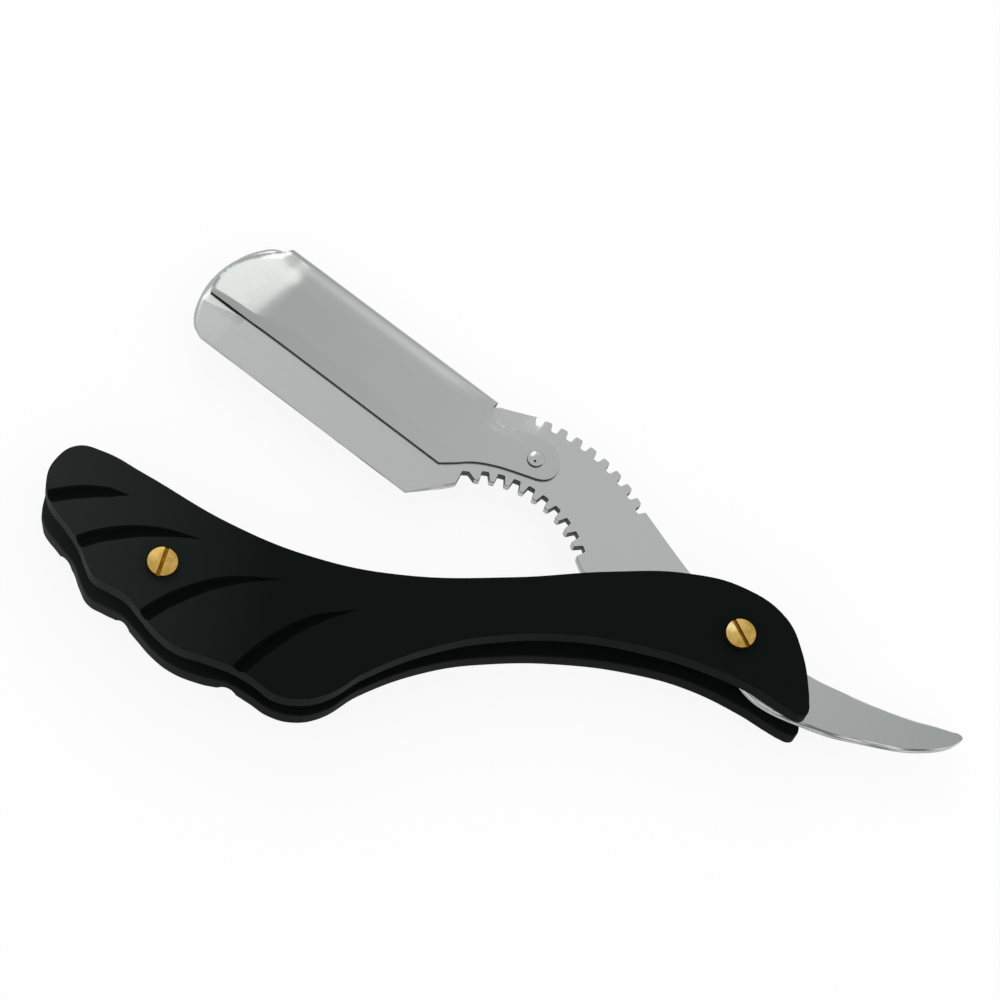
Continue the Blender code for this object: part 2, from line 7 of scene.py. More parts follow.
import bmesh
import bpy
import numpy as np
from mathutils import Matrix, Vector


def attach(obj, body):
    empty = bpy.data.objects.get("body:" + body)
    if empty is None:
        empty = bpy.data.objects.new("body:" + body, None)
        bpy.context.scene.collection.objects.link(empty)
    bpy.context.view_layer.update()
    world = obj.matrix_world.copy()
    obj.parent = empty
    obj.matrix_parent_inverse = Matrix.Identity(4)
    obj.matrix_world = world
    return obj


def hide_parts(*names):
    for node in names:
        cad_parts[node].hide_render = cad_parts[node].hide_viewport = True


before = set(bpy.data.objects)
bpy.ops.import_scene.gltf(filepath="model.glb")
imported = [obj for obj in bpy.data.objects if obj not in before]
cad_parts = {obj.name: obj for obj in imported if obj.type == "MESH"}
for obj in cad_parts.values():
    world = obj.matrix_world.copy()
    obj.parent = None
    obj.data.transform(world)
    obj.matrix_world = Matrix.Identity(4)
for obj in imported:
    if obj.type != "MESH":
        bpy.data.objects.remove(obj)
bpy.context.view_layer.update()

# Scales: the two handle plates, moulded in black ABS with a satin skin and then carved. Each has its own
# lower outline. Its rims are eased, its four grooves are cut from the wing's edge inwards with a
# round-nosed tool that lifts out slowly, and its two holes are bored for the barrel nuts.
MM = 0.001
MERGE = 0.002
UPPER_EDGE = [
    (13.3, -9.4), (11.7, -1.6), (8.5, 4.6), (0.6, 9.4), (-10.1, 10.9), (-24.0, 9.4), (-42.0, 5.9),
    (-62.3, 3.7), (-78.0, 5.0), (-93.3, 9.4), (-109.7, 17.0), (-117.5, 20.3), (-122.2, 20.7),
    (-125.6, 17.7), (-126.8, 13.6),
]
LOWER_EDGES = {
    "front": [
        (-125.7, 9.5), (-122.2, 5.4), (-119.6, 2.0), (-118.0, -1.2), (-116.4, -3.7), (-113.4, -5.1),
        (-110.2, -6.7), (-107.4, -9.5), (-104.4, -12.5), (-100.6, -15.0), (-95.1, -16.3), (-90.4, -17.5),
        (-86.2, -19.4), (-82.6, -21.6), (-78.0, -22.1), (-73.1, -20.6), (-66.6, -15.6), (-54.1, -8.9),
        (-43.6, -5.6), (-29.8, -3.7), (-16.8, -4.3), (-6.8, -6.1), (3.2, -9.4), (8.6, -12.3),
        (10.8, -13.4), (12.3, -13.75), (13.15, -13.3), (13.45, -12.3), (13.4, -10.9),
    ],
    "back": [
        (-126.5, 9.1), (-123.0, 4.7), (-120.1, 1.6), (-118.6, -1.5), (-116.8, -4.3), (-113.7, -5.8),
        (-110.5, -7.1), (-107.6, -9.7), (-104.5, -12.7), (-100.7, -15.2), (-95.2, -16.8), (-90.4, -17.4),
        (-86.2, -19.3), (-82.5, -21.3), (-78.0, -22.0), (-73.1, -20.6), (-66.6, -15.5), (-54.2, -9.2),
        (-43.7, -6.4), (-29.8, -4.7), (-16.8, -4.9), (-6.9, -6.5), (2.9, -10.1), (8.4, -12.9),
        (10.8, -14.0), (12.3, -14.4), (13.2, -14.1), (13.6, -13.1), (13.5, -11.6),
    ],
}
OUTLINE_STEPS = 8
RIM_EASE = 0.3
SCALE_HEIGHTS = {"back": (0.0, 4.25), "front": (9.35, 13.6)}
GROOVE_LINES = [
    [(-128.2, 9.4), (-125.5, 10.4), (-120.0, 11.9), (-115.5, 12.4), (-111.9, 12.3)],
    [(-121.4, 0.9), (-119.6, 2.3), (-113.0, 4.9), (-105.9, 6.0), (-98.5, 5.7)],
    [(-108.3, -11.8), (-106.5, -9.9), (-101.1, -5.7), (-93.0, -1.8), (-83.3, -0.1)],
    [(-90.0, -19.3), (-88.6, -17.4), (-83.4, -11.9), (-77.0, -7.2), (-69.4, -4.1)],
]
GROOVE_WIDTHS = {"front": [1.0, 1.0, 1.0, 0.75, 0.06], "back": [1.9, 1.5, 1.0, 0.75, 0.06]}
GROOVE_SHIFTS = {"front": [(0, 0)] * 4, "back": [(0, 0), (-0.8, 1.6), (-2.7, 3.1), (-0.6, 1.0)]}
GROOVE_SECTION = [
    (-1.5, 1.0), (-1.5, 0.04), (-1.2, -0.03), (-0.95, -0.2), (-0.7, -0.6), (-0.38, -0.9), (0, -1.0),
    (0.38, -0.9), (0.7, -0.6), (0.95, -0.2), (1.2, -0.03), (1.5, 0.04), (1.5, 1.0),
]
BORE = 2.2
SEAT_BORE = 3.3
SEAT_DEPTH = 1.5
SCREW_PLACES = {"pivot": (0, 0), "wing": (-104.6, 0)}
OVERRUN = 1
PATH_STEPS = 12
STRAIGHT_ANGLE = 0.1
RIM_TURN = 0.7
SHARP_ANGLE = 40


def show(name, mesh):
    piece = bpy.data.objects.new(name, mesh)
    bpy.context.scene.collection.objects.link(piece)
    return piece


def settled(piece):
    """The mesh that an object shows once its modifiers are applied."""
    bpy.context.view_layer.update()
    return bpy.data.meshes.new_from_object(piece.evaluated_get(bpy.context.evaluated_depsgraph_get()))


def plate(loops, low, high, steps):
    """A flat plate between two heights, or a bare sheet where they are the same. Each loop holds
    (x, y, handle type) points."""
    curve = bpy.data.curves.new("outline", "CURVE")
    curve.dimensions = "2D"
    curve.fill_mode = "BOTH"
    curve.extrude = (high - low) / 2 * MM
    curve.resolution_u = steps
    for loop in loops:
        spline = curve.splines.new("BEZIER")
        spline.bezier_points.add(len(loop) - 1)
        spline.use_cyclic_u = True
        for point, (x, y, handle) in zip(spline.bezier_points, loop):
            point.co = (x * MM, y * MM, 0)
            point.handle_left_type = handle
            point.handle_right_type = handle
    guide = show("outline", curve)
    mesh = settled(guide)
    bpy.data.objects.remove(guide)
    work = bmesh.new()
    work.from_mesh(mesh)
    bmesh.ops.remove_doubles(work, verts=work.verts, dist=MERGE * MM)
    bmesh.ops.dissolve_limit(work, angle_limit=math.radians(STRAIGHT_ANGLE), verts=work.verts,
                             edges=work.edges)
    bmesh.ops.translate(work, verts=work.verts, vec=(0, 0, (low + high) / 2 * MM))
    bmesh.ops.recalc_face_normals(work, faces=work.faces)
    return work


def rims(work):
    """The edges between a plate's flat faces and its walls."""
    work.normal_update()
    return [e for e in work.edges if len(e.link_faces) == 2
            and abs(abs(e.link_faces[0].normal.z) - abs(e.link_faces[1].normal.z)) > RIM_TURN]


def ease(work, edges, width, segments=3):
    """Rounds edges over, as a file or a tumbling drum does."""
    bmesh.ops.bevel(work, geom=edges, offset=width * MM, offset_type="OFFSET", segments=segments,
                    profile=0.5, affect="EDGES", clamp_overlap=False, material=-1)


def turned(profile, centre, steps=72):
    """A piece turned on a lathe: (radius, height) points spun about an upright axis."""
    work = bmesh.new()
    verts = [work.verts.new((radius * MM, 0, height * MM)) for radius, height in profile]
    edges = [work.edges.new(pair) for pair in zip(verts, verts[1:])]
    bmesh.ops.spin(work, geom=verts + edges, cent=(0, 0, 0), axis=(0, 0, 1), angle=math.tau, steps=steps,
                   use_merge=True)
    bmesh.ops.remove_doubles(work, verts=work.verts, dist=MERGE * MM)
    bmesh.ops.recalc_face_normals(work, faces=work.faces)
    bmesh.ops.translate(work, verts=work.verts, vec=(centre[0] * MM, centre[1] * MM, 0))
    return work


def drill(radius, low, high, centre):
    """The round tool that bores a hole between two heights."""
    return turned([(0, high), (radius, high), (radius, low), (0, low)], centre)


def finished(name, work, materials):
    """An object from a bmesh, its broad faces keeping their flat look beside small eased edges."""
    mesh = bpy.data.meshes.new(name)
    work.to_mesh(mesh)
    work.free()
    for material in materials:
        mesh.materials.append(material)
    mesh.shade_smooth()
    mesh.set_sharp_from_angle(angle=math.radians(SHARP_ANGLE))
    piece = show(name, mesh)
    piece.modifiers.new("Broad faces lead", "WEIGHTED_NORMAL").keep_sharp = True
    return piece


def carved(work, tools):
    """Cuts tools out of a bmesh. Faces that a tool leaves keep the tool's material number."""
    mesh = bpy.data.meshes.new("carved")
    work.to_mesh(mesh)
    work.free()
    block = show("carved", mesh)
    cutters = []
    for tool in tools:
        bmesh.ops.recalc_face_normals(tool, faces=tool.faces)
        cutter_mesh = bpy.data.meshes.new("cutter")
        tool.to_mesh(cutter_mesh)
        tool.free()
        cutters.append(show("cutter", cutter_mesh))
        cut = block.modifiers.new("Cut", "BOOLEAN")
        cut.operation = "DIFFERENCE"
        cut.solver = "EXACT"
        cut.object = cutters[-1]
    result = bmesh.new()
    result.from_mesh(settled(block))
    for piece in [block, *cutters]:
        bpy.data.objects.remove(piece)
    bmesh.ops.remove_doubles(result, verts=result.verts, dist=MERGE * MM)
    return result


def groove_tool(line, widths, face, outward):
    """The path of the round-nosed tool: its section swept along a line and drawn in towards its end."""
    section = bpy.data.curves.new("section", "CURVE")
    section.dimensions = "2D"
    edge = section.splines.new("POLY")
    edge.points.add(len(GROOVE_SECTION) - 1)
    edge.use_cyclic_u = True
    for point, (across, height) in zip(edge.points, GROOVE_SECTION):
        point.co = (across * MM, height * MM, 0, 1)
    nose = show("section", section)
    path = bpy.data.curves.new("path", "CURVE")
    path.dimensions = "3D"
    path.twist_mode = "Z_UP"
    path.bevel_mode = "OBJECT"
    path.bevel_object = nose
    path.use_fill_caps = True
    path.resolution_u = PATH_STEPS
    spline = path.splines.new("BEZIER")
    spline.bezier_points.add(len(line) - 1)
    for point, (x, y), width in zip(spline.bezier_points, line, widths):
        point.co = (x * MM, y * MM, 0)
        point.radius = width
        point.handle_left_type = "AUTO"
        point.handle_right_type = "AUTO"
    guide = show("path", path)
    tool = bmesh.new()
    tool.from_mesh(settled(guide))
    bpy.data.objects.remove(guide)
    bpy.data.objects.remove(nose)
    bmesh.ops.remove_doubles(tool, verts=tool.verts, dist=MERGE * MM)
    bmesh.ops.scale(tool, vec=(1, 1, outward), verts=tool.verts)
    bmesh.ops.translate(tool, verts=tool.verts, vec=(0, 0, face * MM))
    # The tool's faces give the groove walls the second material, which is painted blacker as shade.
    for side in tool.faces:
        side.material_index = 1
    return tool


def linear(colour):
    """An sRGB hex colour as the linear values that a shader takes."""
    channels = [int(colour[i:i + 2], 16) / 255 for i in (1, 3, 5)]
    return [c / 12.92 if c <= 0.04045 else ((c + 0.055) / 1.055) ** 2.4 for c in channels] + [1.0]


def add_node(tree, kind, values=None, links=None, **settings):
    """Adds a shader node with its settings, its socket values and the outputs that feed it."""
    node = tree.nodes.new(kind)
    for setting, value in settings.items():
        setattr(node, setting, value)
    for socket, value in (values or {}).items():
        node.inputs[socket].default_value = value
    for socket, output in (links or {}).items():
        tree.links.new(output, node.inputs[socket])
    return node


def new_material(name):
    """A material with its tree, its shader, and its coordinates in real millimetres."""
    material = bpy.data.materials.new(name)
    material.use_nodes = True
    tree = material.node_tree
    place = add_node(tree, "ShaderNodeTexCoord")
    return material, tree, tree.nodes["Principled BSDF"], place.outputs["Object"]


# Moulded ABS: a spark-eroded mould leaves a fine satin grain, drawn 0.35 mm wide so that it shows. It
# keeps the face dark and dull, a little greyer towards the wing's end. The gloss drifts a little in
# patches of 14 mm, and the carved grooves are duller than the skin and painted blacker, as the shade in
# them.
MOULD_GRAIN = 0.35
HANDLED_PATCH = 14
GREYER_SPAN = (-130, -85)
GLOSS_DRIFT = 0.06


def moulded_abs(name, tones, roughness, specular):
    material, tree, shader, place = new_material(name)
    split = add_node(tree, "ShaderNodeSeparateXYZ", links={"Vector": place})
    greyer = add_node(tree, "ShaderNodeMapRange",
                    {"From Min": GREYER_SPAN[0] * MM, "From Max": GREYER_SPAN[1] * MM},
                    {"Value": split.outputs["X"]})
    tint = add_node(tree, "ShaderNodeMixRGB", {"Color1": linear(tones[1]), "Color2": linear(tones[0])},
                    {"Fac": greyer.outputs["Result"]})
    tree.links.new(tint.outputs["Color"], shader.inputs["Base Color"])
    shader.inputs["Specular IOR Level"].default_value = specular
    size = add_node(tree, "ShaderNodeMapping", {"Scale": (1 / MM, 1 / MM, 1 / MM)}, {"Vector": place})
    handled = add_node(tree, "ShaderNodeTexNoise", {"Scale": 1 / HANDLED_PATCH, "Detail": 3.0},
                       {"Vector": size.outputs[0]})
    spread = add_node(tree, "ShaderNodeMapRange",
                      {"To Min": roughness - GLOSS_DRIFT, "To Max": roughness + GLOSS_DRIFT},
                      {"Value": handled.outputs["Fac"]})
    tree.links.new(spread.outputs["Result"], shader.inputs["Roughness"])
    grain = add_node(tree, "ShaderNodeTexNoise", {"Scale": 1 / MOULD_GRAIN, "Detail": 2.0},
                     {"Vector": size.outputs[0]})
    relief = add_node(tree, "ShaderNodeBump", {"Strength": 0.25, "Distance": 0.02 * MM},
                      {"Height": grain.outputs["Fac"]})
    tree.links.new(relief.outputs["Normal"], shader.inputs["Normal"])
    return material


satin_abs = moulded_abs("moulded_abs_satin", ("#0F1311", "#262B29"), 0.46, 0.008)
# The grooves' ABS is duller, and it is painted blacker as the shade in the grooves.
groove_abs_painted_shade = moulded_abs("carved_abs_matt_painted_shade", ("#080A09", "#0D100F"), 0.7, 0.006)

for side, (low, high) in SCALE_HEIGHTS.items():
    outward = 1 if side == "front" else -1
    face = high if side == "front" else low
    rim = [(x, y, "AUTO") for x, y in UPPER_EDGE + LOWER_EDGES[side]]
    blank = plate([rim], low, high, OUTLINE_STEPS)
    ease(blank, rims(blank), RIM_EASE)
    tools = []
    for line, (dx, dy) in zip(GROOVE_LINES, GROOVE_SHIFTS[side]):
        shifted = [(x + dx, y + dy) for x, y in line]
        tools.append(groove_tool(shifted, GROOVE_WIDTHS[side], face, outward))
    for centre in SCREW_PLACES.values():
        tools.append(drill(BORE, low - OVERRUN, high + OVERRUN, centre))
        if side == "back":
            tools.append(drill(SEAT_BORE, -OVERRUN, SEAT_DEPTH, centre))
    scale = finished(f"carved_{side}_scale", carved(blank, tools), [satin_abs, groove_abs_painted_shade])
    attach(scale, "scales")
    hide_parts(f"{side}_scale")

# Barrel nuts: turned brass posts that stand in the scales' holes, their flat heads let into the back
# scale's outer face. The screws run into them from the front, and the razor swings on the pivot one.
NUT_HEAD = 3.0
NUT_HEAD_THICKNESS = 1.2
BARREL = 1.9
NUT_BORE = 1.3
NUT_FLOOR = 2.7
NUT_TOP = 12.1
SMALL_EASE = 0.1
SQUARE_CORNER = 60


def corner_edges(work, angle):
    """The edges where two faces meet at more than an angle."""
    return [e for e in work.edges
            if len(e.link_faces) == 2 and e.calc_face_angle() > math.radians(angle)]


# Turned brass: the parting tool leaves fine rings on each end face, drawn 0.24 mm apart so that they
# show, and the tumbling after it a soft warm gloss. Tarnish darkens it in blotches, and each head has a
# painted highlight near its upper left side, fading to painted shade beyond it.
RING_SCALE = 1.3
RING_DRIFT = 0.05
HIGHLIGHT_SPOT = (-1.9, 1.2, 0)
HIGHLIGHT_SPAN = (0.4, 3.6)
PAINTED_SHADE_BEYOND = -0.15
TARNISH_AND_HIGHLIGHT_STEPS = (0.25, 0.68, 0.95)


def turned_brass(name, centre, tones, roughness, highlight=0.1):
    material, tree, shader, place = new_material(name)
    shader.inputs["Metallic"].default_value = 1.0
    size = add_node(tree, "ShaderNodeMapping",
                    {"Scale": (1 / MM, 1 / MM, 0), "Location": (-centre[0], -centre[1], 0)},
                    {"Vector": place})
    rings = add_node(tree, "ShaderNodeTexWave", {"Scale": RING_SCALE, "Distortion": 0.6, "Detail": 2.0},
                     {"Vector": size.outputs[0]}, wave_type="RINGS", rings_direction="SPHERICAL")
    blotches = add_node(tree, "ShaderNodeTexNoise", {"Scale": 0.7, "Detail": 4.0},
                        {"Vector": size.outputs[0]})
    # A painted highlight near the head's upper left side, fading to painted shade away from it.
    apart = add_node(tree, "ShaderNodeVectorMath", {1: HIGHLIGHT_SPOT}, {0: size.outputs[0]},
                     operation="DISTANCE")
    painted_highlight = add_node(tree, "ShaderNodeMapRange",
                      {"From Min": HIGHLIGHT_SPAN[0], "From Max": HIGHLIGHT_SPAN[1],
                       "To Min": highlight, "To Max": PAINTED_SHADE_BEYOND},
                      {"Value": apart.outputs["Value"]})
    tarnish_and_highlight = add_node(tree, "ShaderNodeMath",
                       links={0: blotches.outputs["Fac"], 1: painted_highlight.outputs["Result"]}, operation="ADD")
    colour = add_node(tree, "ShaderNodeValToRGB", links={"Fac": tarnish_and_highlight.outputs[0]})
    ramp = colour.color_ramp.elements
    for stop, position, tone in zip((ramp[0], ramp[1]), TARNISH_AND_HIGHLIGHT_STEPS, tones):
        stop.position = position
        stop.color = linear(tone)
    ramp.new(TARNISH_AND_HIGHLIGHT_STEPS[2]).color = linear(tones[2])
    tree.links.new(colour.outputs["Color"], shader.inputs["Base Color"])
    spread = add_node(tree, "ShaderNodeMapRange",
                      {"To Min": roughness - RING_DRIFT, "To Max": roughness + RING_DRIFT},
                      {"Value": rings.outputs["Fac"]})
    tree.links.new(spread.outputs["Result"], shader.inputs["Roughness"])
    relief = add_node(tree, "ShaderNodeBump", {"Strength": 0.06, "Distance": 0.01 * MM},
                      {"Height": rings.outputs["Fac"]})
    tree.links.new(relief.outputs["Normal"], shader.inputs["Normal"])
    return material


BRASS_TONES = ("#A88643", "#C8A961", "#E8D09A")
brass = {name: turned_brass(f"turned_brass_{name}", SCREW_PLACES[name], BRASS_TONES, 0.3, highlight)
         for name, highlight in (("pivot", 0.35), ("wing", 0.05))}

for name, centre in SCREW_PLACES.items():
    nut = turned([(0, NUT_FLOOR), (NUT_BORE, NUT_FLOOR), (NUT_BORE, NUT_TOP), (BARREL, NUT_TOP),
                  (BARREL, NUT_HEAD_THICKNESS), (NUT_HEAD, NUT_HEAD_THICKNESS), (NUT_HEAD, 0),
                  (0, 0)], centre)
    ease(nut, corner_edges(nut, SQUARE_CORNER), SMALL_EASE)
    nut = finished(f"barrel_nut_{name}", nut, [brass[name]])
    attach(nut, "scales")
    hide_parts(f"{name}_post")

# Washers and spacer: punched stainless washers keep the razor off the scales at the pivot, and a short
# stainless tube keeps the scales apart at the wing end.
WASHER = 4.5
SPACER = 3.0
RINGS = [
    ("washer_back", "pivot_washer_back", "pivot", WASHER, 4.3, 5.3),
    ("washer_front", "pivot_washer_front", "pivot", WASHER, 7.9, 9.3),
    ("spacer_tube", "wing_spacer", "wing", SPACER, 4.3, 9.3),
]
HOLDER_TILT = math.radians(-32.4)


# Stainless steel: rolled strip, blanked and drum polished. A grain, drawn 0.3 mm wide and 12 mm long
# along the piece, faintly streaks its gloss. Its tone varies in clouds, in streaks of that grain, or
# evenly between two places along one of the body's own axes, which lie turned by the holder's tilt.
CLOUD = 18
CLOUD_SPAN = (0.3, 0.7)
STREAK_SPAN = (0.42, 0.56)
STEEL_DRIFT = 0.05


def stainless(name, tones, roughness, grain=(12, 0.3, 0.3), varies="clouds"):
    material, tree, shader, place = new_material(name)
    shader.inputs["Metallic"].default_value = 1.0
    aligned = add_node(tree, "ShaderNodeMapping", {"Rotation": (0, 0, -HOLDER_TILT)}, {"Vector": place})
    size = add_node(tree, "ShaderNodeMapping", {"Scale": [1 / MM / length for length in grain]},
                    {"Vector": aligned.outputs[0]})
    streaks = add_node(tree, "ShaderNodeTexNoise", {"Scale": 1.0, "Detail": 3.0},
                       {"Vector": size.outputs[0]})
    if varies == "clouds":
        clouds = add_node(tree, "ShaderNodeTexNoise", {"Scale": 1 / MM / CLOUD, "Detail": 2.0},
                          {"Vector": place})
        source, ends = clouds.outputs["Fac"], CLOUD_SPAN
    elif varies == "streaks":
        source, ends = streaks.outputs["Fac"], STREAK_SPAN
    else:
        axis, *ends = varies
        split = add_node(tree, "ShaderNodeSeparateXYZ", links={"Vector": aligned.outputs[0]})
        source = split.outputs[axis]
    amount = add_node(tree, "ShaderNodeMapRange", {"From Min": ends[0], "From Max": ends[1]},
                      {"Value": source})
    tint = add_node(tree, "ShaderNodeMixRGB", {"Color1": linear(tones[0]), "Color2": linear(tones[1])},
                    {"Fac": amount.outputs["Result"]})
    tree.links.new(tint.outputs["Color"], shader.inputs["Base Color"])
    spread = add_node(tree, "ShaderNodeMapRange",
                      {"To Min": roughness - STEEL_DRIFT, "To Max": roughness + STEEL_DRIFT},
                      {"Value": streaks.outputs["Fac"]})
    tree.links.new(spread.outputs["Result"], shader.inputs["Roughness"])
    relief = add_node(tree, "ShaderNodeBump", {"Strength": 0.06, "Distance": 0.01 * MM},
                      {"Height": streaks.outputs["Fac"]})
    tree.links.new(relief.outputs["Normal"], shader.inputs["Normal"])
    return material


rolled_steel = stainless("stainless_drum_polished", ("#ACAFAD", "#969A98"), 0.22,
                         varies=("X", -8 * MM, 46 * MM))

for name, node, screw, outer, low, high in RINGS:
    profile = [(BORE, high), (outer, high), (outer, low), (BORE, low), (BORE, high)]
    ring = turned(profile, SCREW_PLACES[screw])
    ease(ring, corner_edges(ring, SQUARE_CORNER), SMALL_EASE)
    ring = finished(name, ring, [rolled_steel])
    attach(ring, "scales")
    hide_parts(node)

# Razor body: one blank of 2 mm stainless strip with its arm, two toothed arcs for the fingers, tang and
# tail. It is punched out, its tip and tail rounded over, its front face dressed down at the arm's tip
# and the shoulder, and its lower edge ground thin from the back.
BODY_HEIGHTS = (5.6, 7.6)
SPINE = 11.2
LOWER_EDGE = -14.5
ARM_SPINE = 9.93
TOE = (-112.2, LOWER_EDGE)
HEEL = (-64.4, LOWER_EDGE)
STEP_X = -61.45
STEP_DROP = 0.8
SPINE_END = -110.6
ARM_TIP = [
    (-112.5, 9.5), (-114.8, 7.3), (-117.1, 2.7), (-118.1, -2.6), (-117.5, -7.4), (-115.0, -12.7),
]
TANG_LOWER = [(-30.6, -5.5), (-13.3, -7.2), (-3.5, -5.8)]
TAIL_LOWER = [
    (3.4, -5.1), (8.6, -6.0), (13.3, -5.6), (18.1, -4.3), (23.2, -2.6), (29.2, 0.3), (35.3, 3.6),
    (39.3, 6.8), (41.3, 8.9), (42.3, 10.4), (42.9, 12.0), (43.1, 12.9),
]
TAIL_UPPER = [
    (42.6, 13.2), (40.5, 12.6), (38.6, 11.9), (34.0, 10.0), (27.5, 7.8), (20.6, 6.0), (13.8, 4.7),
]
TANG_UPPER = [(3.1, 4.4), (-5.3, 4.4), (-14.5, 6.7)]
INNER_ARC = {"centre": (-44.3, -19.5), "radius": 19.2, "span": (127.6, 51.0), "first": 55.5,
             "pitch": 8.33, "count": 9, "depth": -1.8, "mouth": 1.9, "floor": 1.2}
FIRST_NOTCH = [(-58.3, -7.0), (-58.8, -4.4), (-57.8, -3.7)]
OUTER_ARC = {"centre": (-43.8, -18.8), "radius": 33.9, "span": (61.5, 108.8), "first": 63.4,
             "pitch": 5.5, "count": 9, "depth": 1.55, "mouth": 1.75, "floor": 1.1}
TOOTH_CORNER = 25
INNER_TOOTH_EASE = 0.16
OUTER_TOOTH_EASE = 0.32
OUTER_TEETH_BEYOND = 30
BODY_EASE = 0.12
TIP_EASE = 0.7
TIP_START = {"along": (-110.6, -112.0), "across": (-14.4, -11.5)}
TAIL_EASE = 0.5
LOWER_EASE = 0.95
TANG_EASE = 1.9
TANG_START = (-6, 0)
TANG_TO_TAIL = (8, 24)
TAIL_MIDDLE = {"place": (18, 0.6), "slope": 0.43}
TAIL_END = {"along": (34, 42), "ease": 0.22}
RIVET = (-49.74, 5.99)
RIVET_HOLE = 1.2
EDGE_RELIEF = 6.0
EDGE_THICKNESS = 0.5
RELIEF_BLOCK = {"size": (75, 12, 4), "middle": (-82, -6, -2)}
ARM_FALL = {"start": -109.5, "slope": 0.018}
FACET = {"end": (-116.9, -8.2), "along": (0.972, 0.235), "slope": 0.125, "width": 2.5,
         "start": -108.0, "ease": 1.5, "edge": 0.15, "faces": -107.9}
RING = {"slope": 0.4, "width": 1.15, "across": (-8, -5), "along": (-108, -111), "start": -107}
SHOULDER = {"drop": 0.3, "across": (7.2, 11.2), "along": (-52, -56), "end": -61.5}
TIP_GRID = {"spans": ((-118, -108), (-14, 9)), "low": -119, "high": -108, "step": 0.5}
ARM_GRID = {"spans": ((-62, -62), (-9, -9)), "low": -103, "high": -62}
SHOULDER_GRID = {"spans": ((-62, -51), (6, 11)), "low": -62, "high": -51}
GRID_SLACK = 0.01
WALL = 0.5
ROUNDED = 0.93
FLAT = 0.97
INNER_TEETH = {"along": (-60, -30), "above": 2, "depth": (-0.4, 2.5)}
OUTER_TEETH = {"along": (-62, -26), "below": 8, "depth": (0.4, 2.5)}
NOTCH_START = 0.4
COVER_SHADE_STRIP = {"end": -62, "across": (-8.7, -5)}


def around(centre, radius, angle):
    return (centre[0] + radius * math.cos(angle), centre[1] + radius * math.sin(angle))


def toothed_arc(centre, radius, span, first, pitch, count, depth, mouth, floor):
    """Points along an arc in its own sense, each notch with two mouth corners and two floor corners."""
    start, end = (math.radians(a) for a in span)
    sense = math.copysign(1, end - start)
    marks = sorted((math.radians(first + i * pitch) for i in range(count)), reverse=sense < 0)
    points = []
    for mark in marks:
        half_mouth = sense * mouth / 2 / radius
        half_floor = sense * floor / 2 / (radius - depth)
        points += [around(centre, radius, start + (mark - half_mouth - start) * i / 4) for i in range(5)]
        points += [around(centre, radius - depth, mark + turn) for turn in (-half_floor, half_floor)]
        start = mark + half_mouth
    points += [around(centre, radius, start + (end - start) * i / 4) for i in range(5)]
    return points


def nearest(place, starts, spans):
    """The point nearest to a place on some straight stretches, and how far off it is."""
    share = np.clip(((place - starts) * spans).sum(1) / (spans ** 2).sum(1), 0, 1)
    feet = starts + share[:, None] * spans
    gaps = np.linalg.norm(place - feet, axis=1)
    return feet[gaps.argmin()], gaps.min()


def arm_drop(x, y, from_rim):
    """How far the arm's front face falls at a place near its tip: a slow fall along it, a narrow facet
    beside the cover's edge, and a rim filed down all round."""
    fall = ARM_FALL["slope"] * max(ARM_FALL["start"] - x, 0)
    beyond = (y - FACET["end"][1]) * FACET["along"][0] - (x - FACET["end"][0]) * FACET["along"][1]
    facet = FACET["slope"] * min(max(beyond, 0), FACET["width"])
    facet *= fade(x, FACET["start"], FACET["start"] - FACET["ease"])
    ring = RING["slope"] * max(RING["width"] - from_rim, 0)
    return fall + facet + ring * fade(y, *RING["across"]) * fade(x, *RING["along"])


def shoulder_drop(x, y):
    """How far the front face falls where the shoulder meets the cover's fold."""
    if x < SHOULDER["end"]:
        return 0
    return SHOULDER["drop"] * fade(y, *SHOULDER["across"]) ** 2 * fade(x, *SHOULDER["along"])


def fade(value, start, end):
    """0 before a start, 1 past an end, and evenly between them."""
    return min(max((value - start) / (end - start), 0), 1)


def rim_width(x, y):
    """How far the body's rim is rounded over at a place: least on the shank, most under the tang."""
    if x > TANG_START[0]:
        middle_x, middle_y = TAIL_MIDDLE["place"]
        full = TAIL_EASE
        if y < middle_y + (x - middle_x) * TAIL_MIDDLE["slope"]:
            full = TANG_EASE + (LOWER_EASE - TANG_EASE) * fade(x, *TANG_TO_TAIL)
        full += (TAIL_END["ease"] - full) * fade(x, *TAIL_END["along"])
        return BODY_EASE + (full - BODY_EASE) * fade(x, *TANG_START)
    tip = fade(x, *TIP_START["along"]) * fade(y, *TIP_START["across"])
    return BODY_EASE + (TIP_EASE - BODY_EASE) * tip


def scored(work, faces, point, normal):
    """Cuts an edge across some faces of a mesh where a plane meets them."""
    geometry = {*faces, *(e for f in faces for e in f.edges), *(v for f in faces for v in f.verts)}
    bmesh.ops.bisect_plane(work, geom=list(geometry), dist=MERGE * MM, plane_co=point, plane_no=normal)


def ruled(work, spans, low, high, step=1.0):
    """Rules lines across a mesh, and lines along the part of it between two places."""
    for line in np.arange(spans[0][0], spans[0][1] + step / 2, step):
        scored(work, work.faces[:], Vector((1, 0, 0)) * line * MM, (1, 0, 0))
    for line in np.arange(spans[1][0], spans[1][1] + step / 2, step):
        inside = [f for f in work.faces if low - GRID_SLACK < min(v.co.x for v in f.verts) / MM
                  and max(v.co.x for v in f.verts) / MM < high + GRID_SLACK]
        scored(work, inside, Vector((0, 1, 0)) * line * MM, (0, 1, 0))


def box(size, middle):
    """A block with its faces square to the axes."""
    work = bmesh.new()
    bmesh.ops.create_cube(work, size=1)
    bmesh.ops.transform(work, matrix=Matrix.Diagonal((*(length * MM for length in size), 1)),
                        verts=work.verts)
    bmesh.ops.translate(work, verts=work.verts, vec=[part * MM for part in middle])
    return work


